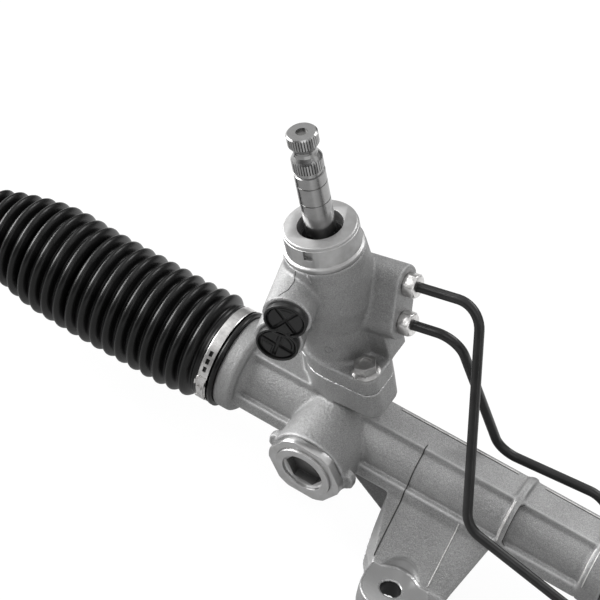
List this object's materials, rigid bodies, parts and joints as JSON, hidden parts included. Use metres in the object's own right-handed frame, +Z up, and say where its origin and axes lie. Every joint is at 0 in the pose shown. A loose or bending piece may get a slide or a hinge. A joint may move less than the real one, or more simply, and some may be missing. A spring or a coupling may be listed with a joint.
{
  "type": "hydraulic steering rack",
  "caption": "Hydraulic rack and pinion steering gear: cast housing with mounting feet, slanted valve tower, splined input shaft, bellows over ball-jointed tie rods and bent steel fluid lines.",
  "frame": {"origin": "centre of the pinion-side foot's bore, on the face that lies on the crossmember", "axes": "+X along the rack from the pinion side to the far side, +Y from the pressure ports to the back, +Z up along the mounting bolt"},
  "size_m": [1.245, 0.1243, 0.282],
  "materials": {
    "cast_aluminium": "sand cast, satin",
    "machined_aluminium": "turned, bright",
    "cylinder_steel": "black enamel",
    "ground_steel": "ground, oiled",
    "zinc_steel": "zinc plated, satin",
    "spring_steel": "blued",
    "black_line": "black enamel, semi-gloss",
    "bellows_rubber": "moulded, satin",
    "seal_rubber": "moulded, matt",
    "black_plastic": "moulded, satin",
    "bearing_plastic": "moulded, satin",
    "ring_plastic": "moulded, satin"
  },
  "bodies": {
    "housing": {"rack_housing": "cast_aluminium", "end_housing": "cast_aluminium", "cylinder_tube": "cylinder_steel", "valve_housing": "cast_aluminium", "valve_collar": "machined_aluminium", "valve_bolts": "zinc_steel", "input_seal": "seal_rubber", "input_bearing": "ground_steel", "port_plug": "black_plastic", "pinion_bush": "bearing_plastic", "lower_bearing_outer": "ground_steel", "pinion_cap": "zinc_steel", "yoke_plug": "machined_aluminium", "yoke_lock_nut": "zinc_steel", "yoke_spring": "spring_steel", "rack_yoke": "machined_aluminium", "yoke_liner": "bearing_plastic", "inner_rack_seal": "seal_rubber", "rack_bushing": "bearing_plastic", "front_line": "black_line", "back_line": "black_line", "line_nuts": "zinc_steel", "left_bellows": "bellows_rubber", "right_bellows": "bellows_rubber", "left_boot_band": "zinc_steel", "right_boot_band": "zinc_steel"},
    "rack": {"rack_bar": "ground_steel", "rack_piston": "ground_steel", "piston_ring": "ring_plastic", "left_inner_socket": "ground_steel", "right_inner_socket": "ground_steel"},
    "pinion": {"pinion": "ground_steel", "valve_sleeve": "ground_steel", "sleeve_rings": "ring_plastic", "lower_bearing_inner": "ground_steel", "pinion_nut": "zinc_steel", "torsion_bar": "spring_steel"},
    "input": {"input_shaft": "ground_steel"},
    "left_seat": {"left_ball_seat": "bearing_plastic"},
    "right_seat": {"right_ball_seat": "bearing_plastic"},
    "left_rod": {"left_tie_rod": "ground_steel", "left_jam_nut": "zinc_steel", "left_boot_clip": "zinc_steel"},
    "right_rod": {"right_tie_rod": "ground_steel", "right_jam_nut": "zinc_steel", "right_boot_clip": "zinc_steel"}
  },
  "joints": [
    {"name": "rack_travel", "type": "slide", "parent": "housing", "child": "rack", "axis": [1, 0, 0], "range_m": [-0.074, 0.074], "deforming": ["left_bellows", "right_bellows"]},
    {"name": "pinion_turn", "type": "hinge", "parent": "housing", "child": "pinion", "pos_m": [-0.0822, 0.07558, 0.07037], "axis": [-0.2756, -0.2569, 0.9263], "range_deg": [-530, 530]},
    {"name": "valve_twist", "type": "hinge", "parent": "pinion", "child": "input", "pos_m": [-0.0822, 0.07558, 0.07037], "axis": [-0.2756, -0.2569, 0.9263], "range_deg": [-4, 4], "stiffness_Nm_per_rad": 60},
    {"name": "left_rod_lift", "type": "hinge", "parent": "rack", "child": "left_seat", "pos_m": [-0.2722, 0.0598, 0.066], "axis": [0, 1, 0], "range_deg": [-18, 18]},
    {"name": "left_rod_swing", "type": "hinge", "parent": "left_seat", "child": "left_rod", "pos_m": [-0.2722, 0.0598, 0.066], "axis": [0, 0, 1], "range_deg": [-18, 18]},
    {"name": "right_rod_lift", "type": "hinge", "parent": "rack", "child": "right_seat", "pos_m": [0.5008, 0.0598, 0.066], "axis": [0, 1, 0], "range_deg": [-18, 18]},
    {"name": "right_rod_swing", "type": "hinge", "parent": "right_seat", "child": "right_rod", "pos_m": [0.5008, 0.0598, 0.066], "axis": [0, 0, 1], "range_deg": [-18, 18]}
  ],
  "couplings": [
    {"joint": "pinion_turn", "follows": "rack_travel", "rad_per_m": 125}
  ]
}
